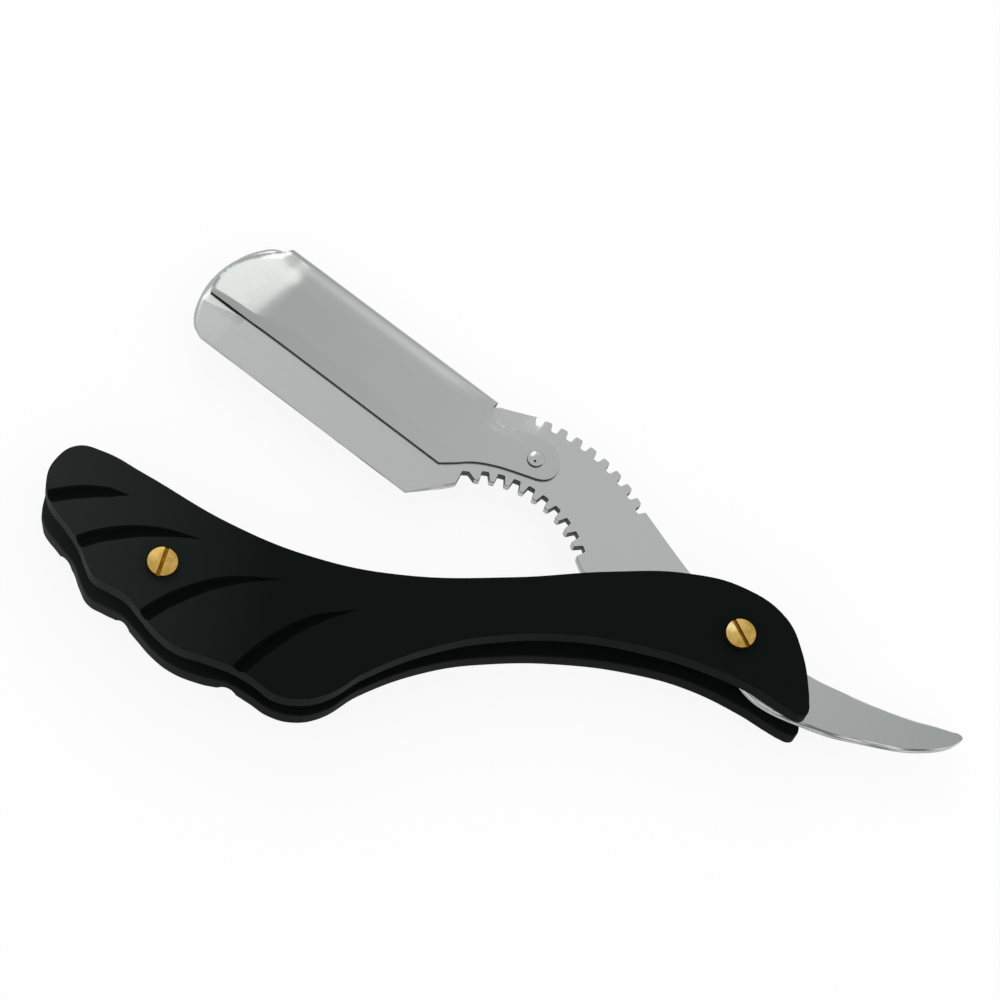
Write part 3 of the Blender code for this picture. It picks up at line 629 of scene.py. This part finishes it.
outline = [(x, y, "VECTOR") for x, y in [TOE, HEEL] + FIRST_NOTCH + toothed_arc(**INNER_ARC)]
outline += [(x, y, "AUTO") for x, y in TANG_LOWER + TAIL_LOWER + TAIL_UPPER + TANG_UPPER]
outline += [(x, y, "VECTOR") for x, y in toothed_arc(**OUTER_ARC)]
outline += [(STEP_X, SPINE - STEP_DROP, "VECTOR"), (STEP_X, ARM_SPINE, "VECTOR"),
            (SPINE_END, ARM_SPINE, "VECTOR")]
outline += [(x, y, "AUTO") for x, y in ARM_TIP]
body = plate([outline], *BODY_HEIGHTS, OUTLINE_STEPS)

# Its upright corners are broken first. Every rim is then rounded evenly, and by place that rounding is
# drawn wider about the edge it was made from.
walls = [e for e in corner_edges(body, TOOTH_CORNER) if abs((e.verts[0].co - e.verts[1].co).z) > MM]
outer = [e for e in walls
         if math.dist(e.verts[0].co.xy / MM, OUTER_ARC["centre"]) > OUTER_TEETH_BEYOND]
ease(body, [e for e in walls if e not in outer], INNER_TOOTH_EASE)
ease(body, outer, OUTER_TOOTH_EASE)
bmesh.ops.remove_doubles(body, verts=body.verts, dist=5 * MERGE * MM)
body_rims = rims(body)
rim_starts = np.array([e.verts[0].co for e in body_rims]) / MM
rim_spans = np.array([e.verts[1].co for e in body_rims]) / MM - rim_starts
ease(body, body_rims, BODY_EASE, 4)
for vert in body.verts:
    foot, gap = nearest(np.array(vert.co) / MM, rim_starts, rim_spans)
    width = rim_width(*foot[:2])
    growth = np.array((width, width, min(width, LOWER_EASE))) / BODY_EASE
    vert.co = Vector(foot + (np.array(vert.co) / MM - foot) * growth) * MM

# Its pivot and rivet holes are bored, and a tilted block takes the ground bevel off its back.
low, high = BODY_HEIGHTS
bores = [drill(BORE, low - OVERRUN, high + OVERRUN, (0, 0)),
         drill(RIVET_HOLE, low - OVERRUN, high + OVERRUN, RIVET)]
relief = box(**RELIEF_BLOCK)
slope = math.atan2(high - low - EDGE_THICKNESS, EDGE_RELIEF)
bmesh.ops.rotate(relief, verts=relief.verts, cent=(0, 0, 0), matrix=Matrix.Rotation(-slope, 3, "X"))
bmesh.ops.translate(relief, verts=relief.verts, vec=(0, (LOWER_EDGE + EDGE_RELIEF) * MM, low * MM))
body = carved(body, [*bores, relief])

# Its front face is ruled fine where it bends and at the border of the strip painted with the cover's
# shadow, then lowered by place.
ruled(body, **TIP_GRID)
across_facet = Vector((-FACET["along"][1], FACET["along"][0], 0))
for offset in (0, FACET["edge"]):
    tip_faces = [f for f in body.faces if max(v.co.x for v in f.verts) < FACET["faces"] * MM]
    scored(body, tip_faces, Vector((*FACET["end"], 0)) * MM + across_facet * offset * MM, across_facet)
ruled(body, **ARM_GRID)
ruled(body, **SHOULDER_GRID)
for vert in body.verts:
    x, y = vert.co.xy / MM
    gap = RING["width"]
    if x < RING["start"]:
        gap = nearest(np.array((x, y, high)), rim_starts, rim_spans)[1]
    vert.co.z -= (arm_drop(x, y, gap) + shoulder_drop(x, y)) * (vert.co.z - low * MM) / (high - low)
body.normal_update()

# Its walls are ground steel but for the notches, which are painted with shade, and a strip beside the
# cover is painted with the cover's shadow.
middle = sum(BODY_HEIGHTS) / 2
POLISHED, GROUND, PAINTED_SHADE, COVER_SHADE = range(4)


def between(value, bounds):
    return bounds[0] < value < bounds[1]


# Notch walls and the inner teeth's upper rounded faces take near-black steel, which is painted shade.
for face in body.faces:
    x, y, z = face.calc_center_median() / MM
    in_inner = math.dist((x, y), INNER_ARC["centre"]) - INNER_ARC["radius"]
    in_outer = OUTER_ARC["radius"] - math.dist((x, y), OUTER_ARC["centre"])
    by_inner = (between(x, INNER_TEETH["along"]) and y < INNER_TEETH["above"]
                and between(in_inner, INNER_TEETH["depth"]))
    by_outer = (between(x, OUTER_TEETH["along"]) and y > OUTER_TEETH["below"]
                and between(in_outer, OUTER_TEETH["depth"]))
    in_notch = by_inner and in_inner > NOTCH_START or by_outer
    slant = abs(face.normal.z)
    face.material_index = POLISHED
    if slant < WALL:
        face.material_index = PAINTED_SHADE if in_notch else GROUND
    elif slant < FLAT and by_inner and z > middle:
        face.material_index = PAINTED_SHADE
    elif slant < ROUNDED and x > TANG_START[0]:
        face.material_index = GROUND
    elif (slant > FLAT and x < COVER_SHADE_STRIP["end"] and between(y, COVER_SHADE_STRIP["across"])
          and z > middle):
        face.material_index = COVER_SHADE
bmesh.ops.rotate(body, verts=body.verts, cent=(0, 0, 0), matrix=Matrix.Rotation(HOLDER_TILT, 3, "Z"))

# Ground steel: walls that a belt has gone over by hand, bright with fine dark scratches that run along
# them, drawn 0.15 mm apart. The belt never reaches into the notches, and there the torn steel is
# painted nearly black as the shade in them. The strip beside the cover's edge is painted a shade darker,
# as the cover's shadow on it.
ground_steel = stainless("stainless_ground", ("#6C6F6D", "#CDD0CE"), 0.3, (6, 6, 0.15), "streaks")
painted_shade_steel = stainless("stainless_painted_shade", ("#242625", "#3C3E3D"), 0.5)
# The strip beside the cover's edge is painted darker as the cover's shadow on the arm.
cover_shade_steel = stainless("stainless_painted_cover_shade", ("#ACAFAD", "#9A9D9B"), 0.22,
                         varies=("Y", -8.6 * MM, -6.2 * MM))

body = finished("toothed_body", body, [rolled_steel, ground_steel, painted_shade_steel, cover_shade_steel])
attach(body, "razor")
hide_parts("razor_body")

# Blade pins: two short stainless pins pressed into the arm's back, which locate the half blade.
PIN = 0.75
PIN_HEIGHTS = (5.45, 6.6)
PIN_PLACES = {"toe": (-101.5, -5.3), "heel": (-80.5, -5.3)}
PIN_STEPS = 48

for name, (x, y) in PIN_PLACES.items():
    foot, head = PIN_HEIGHTS
    place = Matrix.Rotation(HOLDER_TILT, 3, "Z") @ Vector((x, y, 0))
    pin = turned([(0, head), (PIN, head), (PIN, foot), (0, foot)], place, PIN_STEPS)
    ease(pin, corner_edges(pin, SQUARE_CORNER), SMALL_EASE)
    pin = finished(f"locating_pin_{name}", pin, [rolled_steel])
    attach(pin, "razor")
    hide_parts(f"blade_pin_{name}")

# Swing cover: half a millimetre of polished stainless, blanked flat and folded over the arm's spine. The
# press crowns its front wall, so it falls to the spine and the tip, and a tongue on each wall ends at
# the rivet. The blank is laid out about the fold line, ruled into a fine grid, and bent.
SHEET = 0.5
FOLD_CENTRE = 9.4
FOLD_RADIUS = 1.55
FOLD_START = -110.8
FOLD_MIDDLE_START = -110.1
FOLD_END = -62.04
BLADE_SIDE_FRONT = -6.0
BLADE_SIDE_BACK = -12.8
COVER_TIP = [
    (-111.6, 8.7), (-114.4, 5.6), (-116.4, 2.2), (-117.1, -0.9), (-117.1, -3.8), (-116.4, -5.9),
]
BACK_TIP = [(-116.2, -6.0), (-115.2, -9.5)]
BACK_TOE = -113.8
TONGUE_EDGE = [
    (-60.8, -4.0), (-58.4, -1.8), (-54.8, 0.3), (-51.6, 1.6), (-48.8, 2.6), (-46.8, 3.4), (-45.8, 4.2),
    (-45.2, 5.3), (-45.2, 6.8), (-45.7, 8.2), (-46.8, 9.3), (-48.3, 10.1), (-50.0, 10.3), (-51.8, 10.1),
    (-53.7, 9.6), (-55.6, 8.9), (-57.3, 8.1), (-59.0, 7.5), (-60.5, 7.7),
]
HEEL_CORNER = -63.1
HEEL_CHAMFER = 4.2
COVER_OUTLINE_STEPS = 10
HOLE_STEPS = 32
GRID_ALONG = [*range(-116, -44), *np.arange(-116.5, -104)]
GRID_ACROSS = [*range(-24, 19), 14.5, 15.5, 16.5, 17.4]
FOLD_STEPS = 10
SLIVER = 0.08
FOLD_END_REACH = 0.1
HOLE_REACH = 1.5
CROWN = 0.6
PRESS = 0.22
CROWN_START = -50
CROWN_LENGTH = 24
BACK_SHARE = 0.5
SPINE_FALL = 5.0
EDGE_FALL = 3.0
TIP_EDGE_FALL = 0.7
TIP_EDGE_SPAN = (-98, -107)
TIP_ROLL = {"centre": (-103.9, -8.2), "radius": 13.5, "reach": 11.0, "drop": 0.6,
            "across": 0.5, "ease": 4}
TIP_FALL = {"start": -104.0, "ease": 3.5, "length": 13.0, "share": 0.85}
RIM_ROUND = 0.14
RIM_CORNER = 50


def cover_wall(front):
    """Half of the blank's outline from the fold to the fold by way of the tongue."""
    if front:
        tip = COVER_TIP[:-1]
        corners = [COVER_TIP[-1], (HEEL_CORNER, BLADE_SIDE_FRONT)]
    else:
        tip = COVER_TIP[:-1] + BACK_TIP
        corners = [(BACK_TOE, BLADE_SIDE_BACK), (HEEL_CORNER - HEEL_CHAMFER, BLADE_SIDE_BACK),
                   (HEEL_CORNER, BLADE_SIDE_FRONT)]
    points = [(x, y, "AUTO") for x, y in [(FOLD_START, FOLD_CENTRE)] + tip]
    points += [(x, y, "VECTOR") for x, y in corners]
    points += [(x, y, "AUTO") for x, y in TONGUE_EDGE]
    return points + [(FOLD_END, FOLD_CENTRE, "VECTOR")]


def soft_step(value):
    """0 at 0 and 1 at 1, with a soft start and a soft end."""
    share = min(max(value, 0), 1)
    return share * share * (3 - 2 * share)


def tip_roll(x, y):
    """How far the cover's front wall rolls down at a place near its rounded tip."""
    start, level = TIP_ROLL["centre"]
    if x >= start:
        return 0
    from_end = TIP_ROLL["radius"] - math.hypot(x - start, (y - level) * TIP_ROLL["across"])
    fall = min(max(1 - from_end / TIP_ROLL["reach"], 0), 1)
    return TIP_ROLL["drop"] * fall * fall * soft_step((start - x) / TIP_ROLL["ease"])


def on_outer_rim(edge):
    """Whether an edge lies on the flat blank's rim, clear of the fold's end and of the rivet holes."""
    at_fold_end = all(abs(v.co.x / MM - FOLD_END) < FOLD_END_REACH for v in edge.verts)
    from_hole = min(math.dist(edge.verts[0].co.xy / MM, (RIVET[0], side * rise)) for side in (1, -1))
    return edge.is_boundary and not at_fold_end and from_hole > HOLE_REACH


# Blanked: the two walls lie one on each side of the fold line, each with its rivet hole.
quarter = math.pi * FOLD_RADIUS / 2
front = [(x, FOLD_CENTRE - y + quarter, handle) for x, y, handle in cover_wall(True)]
back = [(x, y - FOLD_CENTRE - quarter, handle) for x, y, handle in cover_wall(False)]
rise = FOLD_CENTRE - RIVET[1] + quarter
hole_turns = [math.tau * i / HOLE_STEPS for i in range(HOLE_STEPS)]
holes = [[(*around((RIVET[0], side * rise), RIVET_HOLE, turn), "VECTOR") for turn in hole_turns]
         for side in (1, -1)]
blank = [(FOLD_MIDDLE_START, 0, "AUTO")] + front + back[::-1]
cover = plate([blank, *holes], 0, 0, COVER_OUTLINE_STEPS)

# Ruled: the grid is closer at the tip, beside the front wall's free edge and round the fold.
lines = [((x * MM, 0, 0), (1, 0, 0)) for x in GRID_ALONG]
lines += [((0, y * MM, 0), (0, 1, 0)) for y in GRID_ACROSS if abs(y) > quarter]
lines += [((0, quarter * i / FOLD_STEPS * MM, 0), (0, 1, 0))
          for i in range(-FOLD_STEPS, FOLD_STEPS + 1)]
for point, normal in lines:
    geometry = cover.verts[:] + cover.edges[:] + cover.faces[:]
    bmesh.ops.bisect_plane(cover, geom=geometry, dist=MERGE * MM, plane_co=point, plane_no=normal)
bmesh.ops.remove_doubles(cover, verts=cover.verts, dist=SLIVER * MM)
rim = [e for e in cover.edges if on_outer_rim(e)]
starts = np.array([e.verts[0].co.xy for e in rim]) / MM
spans = np.array([e.verts[1].co.xy for e in rim]) / MM - starts

# Folded and crowned: each point goes round the fold to its wall, which swells away from its rim.
ease_in = TIP_FALL["ease"]
flat = PRESS / (CROWN + PRESS)
for vert in cover.verts:
    x, y = vert.co.x / MM, vert.co.y / MM
    from_rim = nearest(np.array((x, y)), starts, spans)[1]
    past_fold = abs(y) - quarter
    if past_fold < 0 and x < FOLD_END + MERGE:
        turn = y / FOLD_RADIUS
        height, side = FOLD_CENTRE + FOLD_RADIUS * math.cos(turn), math.sin(turn)
    else:
        height, side = FOLD_CENTRE - past_fold, math.copysign(1, y)
    swell = 1 - (1 - min(max(past_fold / SPINE_FALL, 0), 1)) ** 2
    wall_share = 1 if side > 0 else BACK_SHARE
    swell = flat + (1 - flat) * swell * soft_step((CROWN_START - x) / CROWN_LENGTH) * wall_share
    along = max(TIP_FALL["start"] - x, 0)
    fallen = along ** 2 / 2 / ease_in if along < ease_in else along - ease_in / 2
    level = 1 - TIP_FALL["share"] * fallen / (TIP_FALL["length"] - ease_in / 2)
    edge_fall = EDGE_FALL + (TIP_EDGE_FALL - EDGE_FALL) * fade(x, *TIP_EDGE_SPAN)
    lift = (CROWN + PRESS) * swell * level * soft_step(from_rim / edge_fall) - PRESS
    lift -= tip_roll(x, height) * max(side, 0)
    vert.co = Vector((x, height, middle + side * (FOLD_RADIUS + lift))) * MM
bmesh.ops.rotate(cover, verts=cover.verts, cent=(0, 0, 0), matrix=Matrix.Rotation(HOLDER_TILT, 3, "Z"))
bmesh.ops.recalc_face_normals(cover, faces=cover.faces)

# Polished stainless: the cover is buffed after folding, so it mirrors its surroundings softly. Its cut
# edge is duller, and it is painted darker as the shadow in the gap along the cover's edge.
buffed_steel = stainless("stainless_buffed", ("#989B99", "#A8ABA9"), 0.19,
                         varies=("X", -115 * MM, -55 * MM))
cut_edge_shade_steel = stainless("stainless_cut_edge_painted_shade", ("#3E4140", "#525553"), 0.4)

mesh = bpy.data.meshes.new("folded_cover")
cover.to_mesh(mesh)
cover.free()
mesh.materials.append(buffed_steel)
mesh.materials.append(cut_edge_shade_steel)
mesh.shade_smooth()
cover = show("folded_cover", mesh)
sheet = cover.modifiers.new("Sheet", "SOLIDIFY")
sheet.thickness = SHEET * MM
sheet.offset = 0
sheet.use_even_offset = True
# The rim takes the cut edge's steel, which is painted shade.
sheet.material_offset_rim = 1
edge = cover.modifiers.new("Rim", "BEVEL")
edge.width = RIM_ROUND * MM
edge.segments = 3
edge.limit_method = "ANGLE"
edge.material = 0
edge.angle_limit = math.radians(RIM_CORNER)
cover.modifiers.new("Broad faces lead", "WEIGHTED_NORMAL").keep_sharp = True
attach(cover, "cover")
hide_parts("swing_cover")

# Cover rivet: a stainless rivet through both walls and the body, its front head set to a dome with the
# punch's small dimple a little off its middle, its back head hammered nearly flat.
RIVET_HEAD = 1.6
RIVET_SHANK = 0.9
FRONT_SEAT = 8.45
DOME_FOOT = 8.8
DOME = 0.5
DOME_STEPS = 12
BACK_SEAT = 4.5
BACK_FACE = 4.3
DIMPLE = 0.24
DIMPLE_POINT = 0.1
DIMPLE_HEIGHTS = (9.0, 9.24, 10)
DIMPLE_SHIFT = (-0.2, -0.75)
DIMPLE_STEPS = 24

dome_turns = [math.pi / 2 * i / DOME_STEPS for i in range(DOME_STEPS + 1)]
dome = [(RIVET_HEAD * math.sin(turn), DOME_FOOT + DOME * math.cos(turn)) for turn in dome_turns]
place = Matrix.Rotation(HOLDER_TILT, 3, "Z") @ Vector((*RIVET, 0))
rivet = turned([*dome, (RIVET_HEAD, FRONT_SEAT), (RIVET_SHANK, FRONT_SEAT), (RIVET_SHANK, BACK_SEAT),
                (RIVET_HEAD, BACK_SEAT), (RIVET_HEAD, BACK_FACE), (0, BACK_FACE)], place)
# The short wall under the dome and the dimple take the near-black steel, which is painted shade.
for wall in rivet.faces:
    height = wall.calc_center_median().z / MM
    wall.material_index = 1 if FRONT_SEAT < height < DOME_FOOT else 0
floor, mouth, above = DIMPLE_HEIGHTS
dimple = turned([(0, above), (2 * DIMPLE, above), (DIMPLE, mouth), (DIMPLE_POINT, floor), (0, floor)],
                (place.x + DIMPLE_SHIFT[0], place.y + DIMPLE_SHIFT[1]), DIMPLE_STEPS)
for wall in dimple.faces:
    wall.material_index = 1
rivet = finished("domed_rivet", carved(rivet, [dimple]), [buffed_steel, painted_shade_steel])
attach(rivet, "razor")
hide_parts("cover_rivet")

# Screws: brass cheese-head screws, their slots milled right across the heads. They stand a little proud
# of the front scale and clamp it to the barrel nuts.
SCREW_HEAD = 2.75
SCREW_HEIGHTS = (13.9, 15.0)
SHANK = 1.0
SHANK_TIP = 3.0
SLOT_WIDTH = 0.75
SLOT_LENGTH = 8
SLOT_DEPTH = 0.5
SLOT_ANGLES = {"wing": 78, "pivot": -59}
dark_brass_painted_shade = turned_brass("dark_brass_painted_shade", (0, 0), ("#6E4A0C", "#926A22", "#A87E34"), 0.4)

for name, slot_angle in SLOT_ANGLES.items():
    seat, top = SCREW_HEIGHTS
    screw = turned([(0, top), (SCREW_HEAD, top), (SCREW_HEAD, seat), (SHANK, seat), (SHANK, SHANK_TIP),
                    (0, SHANK_TIP)], (0, 0))
    ease(screw, corner_edges(screw, SQUARE_CORNER), SMALL_EASE)
    slot = box((SLOT_LENGTH, SLOT_WIDTH, 2 * SLOT_DEPTH), (0, 0, top))
    bmesh.ops.rotate(slot, verts=slot.verts, cent=(0, 0, 0),
                     matrix=Matrix.Rotation(math.radians(slot_angle), 3, "Z"))
    # The slot's walls and floor and the head's side take the darker brass, which is painted shade.
    for wall in slot.faces:
        wall.material_index = 1
    for wall in screw.faces:
        if abs(wall.normal.z) < WALL:
            wall.material_index = 1
    screw = carved(screw, [slot])
    bmesh.ops.translate(screw, verts=screw.verts, vec=Vector((*SCREW_PLACES[name], 0)) * MM)
    screw = finished(f"slotted_screw_{name}", screw, [brass[name], dark_brass_painted_shade])
    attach(screw, "scales")
    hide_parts(f"{name}_screw")

# Table: a plain white board under the razor. The camera and the polished metal see it as white paper,
# with the razor's soft shadow kept.
TABLE_SIZE = 3.0
TABLE_PLACE = (-50, 15, -0.05)
PAPER_SHARE = 0.88


def seen_rays(tree):
    """A node that gives 1 for a ray from the camera, or off or through a shiny thing, 0 for the rest."""
    ray = add_node(tree, "ShaderNodeLightPath")
    seen = add_node(tree, "ShaderNodeMath",
                    links={0: ray.outputs["Is Camera Ray"], 1: ray.outputs["Is Glossy Ray"]},
                    operation="ADD")
    return add_node(tree, "ShaderNodeMath",
                    links={0: seen.outputs[0], 1: ray.outputs["Is Transmission Ray"]},
                    operation="ADD", use_clamp=True)


table = bmesh.new()
bmesh.ops.create_grid(table, x_segments=2, y_segments=2, size=TABLE_SIZE / 2)
bmesh.ops.translate(table, verts=table.verts, vec=[part * MM for part in TABLE_PLACE])
white_board, tree, shader, place = new_material("white_board")
shader.inputs["Base Color"].default_value = linear("#F4F4F4")
shader.inputs["Roughness"].default_value = 0.9
shader.inputs["Specular IOR Level"].default_value = 0.1
share = add_node(tree, "ShaderNodeMath", {1: PAPER_SHARE}, {0: seen_rays(tree).outputs[0]},
                 operation="MULTIPLY")
paper = add_node(tree, "ShaderNodeEmission", {"Color": (1, 1, 1, 1), "Strength": 1.0})
mix = add_node(tree, "ShaderNodeMixShader",
               links={0: share.outputs[0], 1: shader.outputs[0], 2: paper.outputs[0]})
tree.links.new(mix.outputs[0], tree.nodes["Material Output"].inputs["Surface"])
table = finished("table", table, [white_board])

# Studio: an even pale room with four lamps. A broad softbox, a strip that draws the light along the
# cover's spine and a tall lamp stand behind the razor, and a small lamp stands low on the right.
ROOM_LEVEL = 0.93
world = bpy.data.worlds.new("Pale room")
bpy.context.scene.world = world
world.use_nodes = True
tree = world.node_tree
level = add_node(tree, "ShaderNodeMapRange", {"To Min": ROOM_LEVEL, "To Max": 1.0},
                 {"Value": seen_rays(tree).outputs[0]})
tree.links.new(level.outputs["Result"], tree.nodes["Background"].inputs["Strength"])
tree.nodes["Background"].inputs["Color"].default_value = (1, 1, 1, 1)


def softbox(name, place, aim, along, width, height, power):
    """An area lamp that faces the aim, its width lying along a direction."""
    lamp = bpy.data.lights.new(name, "AREA")
    lamp.shape = "ELLIPSE"
    lamp.size = width
    lamp.size_y = height
    lamp.energy = power
    back = (Vector(place) - Vector(aim)).normalized()
    side = (Vector(along) - Vector(along).dot(back) * back).normalized()
    lamp_object = bpy.data.objects.new(name, lamp)
    lamp_object.location = place
    lamp_object.rotation_euler = Matrix((side, back.cross(side), back)).transposed().to_euler()
    bpy.context.scene.collection.objects.link(lamp_object)


AIM = (-0.06, 0.03, 0.01)
softbox("softbox_tip", (-0.256, 0.787, 0.818), AIM, (-0.724, 0.435, -0.536), 0.51, 0.50, 1.0)
softbox("strip_spine", (0.150, 0.870, 0.715), AIM, (-0.849, 0.488, -0.203), 0.50, 0.17, 0.125)
softbox("lamp_back", (-0.135, 1.06, 0.60), AIM, (1, 0, 0), 0.26, 0.5, 0.72)
softbox("lamp_right", (0.9, -0.08, 0.32), AIM, (0, 1, 0), 0.3, 0.3, 0.3)

# Camera: a long lens at about two thirds of a metre, looking down on the razor from its lower side.
camera = bpy.data.cameras.new("Camera")
camera.lens = 136.8
camera.sensor_width = 36.0
camera.clip_start = 0.01
camera_object = bpy.data.objects.new("Camera", camera)
camera_object.location = (-0.118364, -0.249951, 0.642736)
camera_object.rotation_euler = [math.radians(a) for a in (22.55701, -8.41944, 4.30979)]
bpy.context.scene.collection.objects.link(camera_object)
bpy.context.scene.camera = camera_object
bpy.context.scene.view_settings.view_transform = "Standard"
